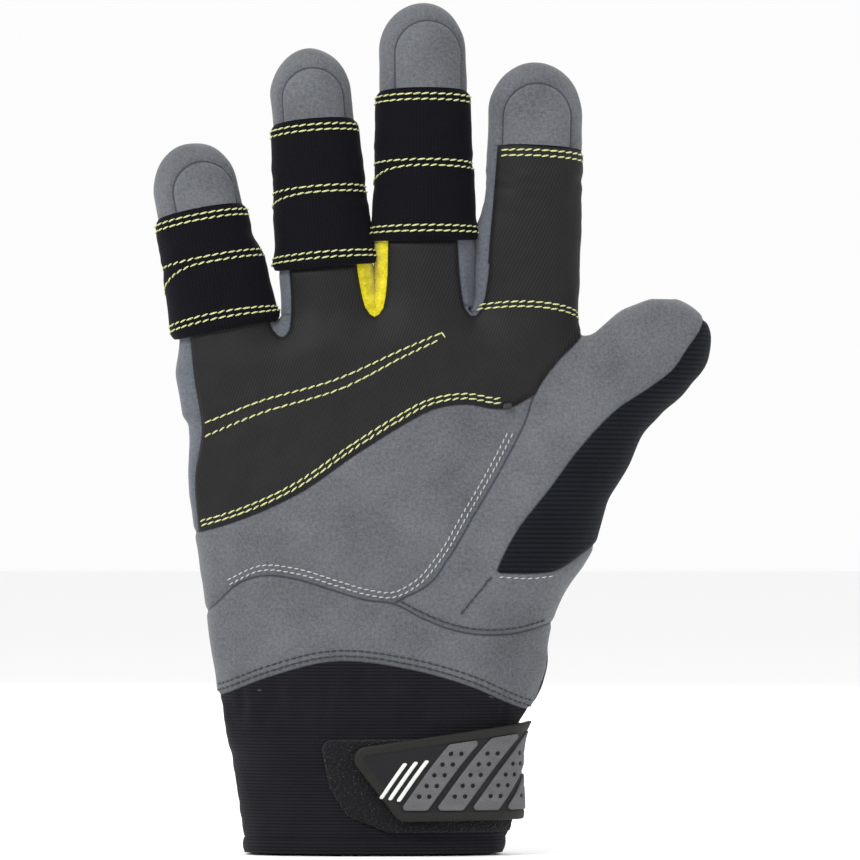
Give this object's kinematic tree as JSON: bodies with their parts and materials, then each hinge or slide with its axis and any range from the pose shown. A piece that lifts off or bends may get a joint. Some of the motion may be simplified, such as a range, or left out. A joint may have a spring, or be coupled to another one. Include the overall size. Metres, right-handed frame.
{
  "type": "sailing glove",
  "caption": "Right-hand sailing glove with jointed fingers and thumb, knit and twill reinforcement over a suede palm, ribbed cuff and a hook-and-loop wrist strap with a moulded tab.",
  "frame": {"origin": "centre of the wrist opening, in the plane of the cuff's lower rim", "axes": "+Z from the wrist opening to the fingertips, -Y out of the palm, +Y out of the back of the hand, +X to the thumb side"},
  "size_m": [0.1609, 0.0425, 0.2442],
  "materials": {
    "grey_suede": "napped synthetic suede",
    "black_stretch": "ribbed stretch knit",
    "charcoal_twill": "coarse diagonal twill",
    "knit_band": "fine knit, matt",
    "yellow_fabric": "matt woven",
    "ribbed_knit": "fine ribbed elastic knit",
    "elastic": "braided elastic",
    "loop_pile": "fuzzy loop pile",
    "webbing": "woven webbing",
    "hook_tape": "moulded hook tape",
    "tab_rubber": "moulded, satin",
    "tab_grey": "moulded, satin",
    "tab_light": "moulded, satin"
  },
  "bodies": {
    "hand": {"palm_panel": "grey_suede", "thumb_root_panel": "grey_suede", "wrist_panel": "grey_suede", "back_panel": "black_stretch", "palm_patch": "charcoal_twill", "cuff": "ribbed_knit", "cuff_hem": "ribbed_knit", "wrist_elastic": "elastic", "loop_field": "loop_pile", "strap_anchor": "webbing", "little_ring_fourchette": "grey_suede", "ring_middle_fourchette": "yellow_fabric", "middle_index_fourchette": "grey_suede", "little_root_gusset": "grey_suede", "ring_root_gusset": "grey_suede", "middle_root_gusset": "grey_suede", "index_root_gusset": "charcoal_twill", "thumb_root_gusset": "grey_suede"},
    "little_lower": {"little_lower_face": "grey_suede", "little_lower_back": "black_stretch", "little_lower_band": "knit_band", "little_knuckle_gusset": "knit_band"},
    "little_upper": {"little_upper_face": "grey_suede", "little_upper_back": "black_stretch", "little_upper_band": "knit_band", "little_tip_wrap": "grey_suede"},
    "ring_lower": {"ring_lower_face": "grey_suede", "ring_lower_back": "black_stretch", "ring_lower_band": "knit_band", "ring_knuckle_gusset": "knit_band"},
    "ring_upper": {"ring_upper_face": "grey_suede", "ring_upper_back": "black_stretch", "ring_upper_band": "knit_band", "ring_tip_wrap": "grey_suede"},
    "middle_lower": {"middle_lower_face": "grey_suede", "middle_lower_back": "black_stretch", "middle_lower_band": "knit_band", "middle_knuckle_gusset": "knit_band"},
    "middle_upper": {"middle_upper_face": "grey_suede", "middle_upper_back": "black_stretch", "middle_upper_band": "knit_band", "middle_tip_wrap": "grey_suede"},
    "index_lower": {"index_lower_face": "grey_suede", "index_lower_back": "black_stretch", "index_lower_patch": "charcoal_twill", "index_knuckle_gusset": "charcoal_twill"},
    "index_upper": {"index_upper_face": "grey_suede", "index_upper_back": "black_stretch", "index_upper_patch": "charcoal_twill", "index_tip_wrap": "grey_suede"},
    "thumb_lower": {"thumb_lower_face": "grey_suede", "thumb_lower_back": "black_stretch", "thumb_knuckle_gusset": "grey_suede"},
    "thumb_upper": {"thumb_upper_face": "grey_suede", "thumb_upper_back": "black_stretch"},
    "strap": {"strap_web": "webbing", "hook_pad": "hook_tape", "strap_tab": "tab_rubber", "tab_inserts": "tab_grey", "tab_bars": "tab_light"}
  },
  "joints": [
    {"name": "little_root_bend", "type": "hinge", "parent": "hand", "child": "little_lower", "pos_m": [-0.04365, 0, 0.15393], "axis": [0.9823, 0, 0.1874], "range_deg": [0, 60], "deforming": ["little_root_gusset"]},
    {"name": "little_knuckle_bend", "type": "hinge", "parent": "little_lower", "child": "little_upper", "pos_m": [-0.04702, 0, 0.17161], "axis": [0.9823, 0, 0.1874], "range_deg": [0, 65], "deforming": ["little_knuckle_gusset"]},
    {"name": "ring_root_bend", "type": "hinge", "parent": "hand", "child": "ring_lower", "pos_m": [-0.01223, 0, 0.15599], "axis": [0.9965, 0, 0.0837], "range_deg": [0, 65], "deforming": ["ring_root_gusset"]},
    {"name": "ring_knuckle_bend", "type": "hinge", "parent": "ring_lower", "child": "ring_upper", "pos_m": [-0.01512, 0, 0.19037], "axis": [0.9965, 0, 0.0837], "range_deg": [0, 75], "deforming": ["ring_knuckle_gusset"]},
    {"name": "middle_root_bend", "type": "hinge", "parent": "hand", "child": "middle_lower", "pos_m": [0.01516, 0, 0.158], "axis": [1, 0, 0.0087], "range_deg": [0, 65], "deforming": ["middle_root_gusset"]},
    {"name": "middle_knuckle_bend", "type": "hinge", "parent": "middle_lower", "child": "middle_upper", "pos_m": [0.01482, 0, 0.198], "axis": [1, 0, 0.0087], "range_deg": [0, 75], "deforming": ["middle_knuckle_gusset"]},
    {"name": "index_root_bend", "type": "hinge", "parent": "hand", "child": "index_lower", "pos_m": [0.04444, 0, 0.156], "axis": [0.9994, 0, -0.0349], "range_deg": [0, 65], "deforming": ["index_root_gusset"]},
    {"name": "index_knuckle_bend", "type": "hinge", "parent": "index_lower", "child": "index_upper", "pos_m": [0.04564, 0, 0.19048], "axis": [0.9994, 0, -0.0349], "range_deg": [0, 75], "deforming": ["index_knuckle_gusset"]},
    {"name": "thumb_root_bend", "type": "hinge", "parent": "hand", "child": "thumb_lower", "pos_m": [0.0606, -0.003, 0.115], "axis": [0, 0, -1], "range_deg": [0, 30], "deforming": ["thumb_root_gusset"]},
    {"name": "thumb_knuckle_bend", "type": "hinge", "parent": "thumb_lower", "child": "thumb_upper", "pos_m": [0.0755, -0.003, 0.134], "axis": [0.7314, 0, -0.682], "range_deg": [0, 50], "deforming": ["thumb_knuckle_gusset"]},
    {"name": "strap_peel", "type": "hinge", "parent": "hand", "child": "strap", "pos_m": [0.0456, -0.004, 0.023], "axis": [0, 0, 1], "range_deg": [0, 150]}
  ]
}
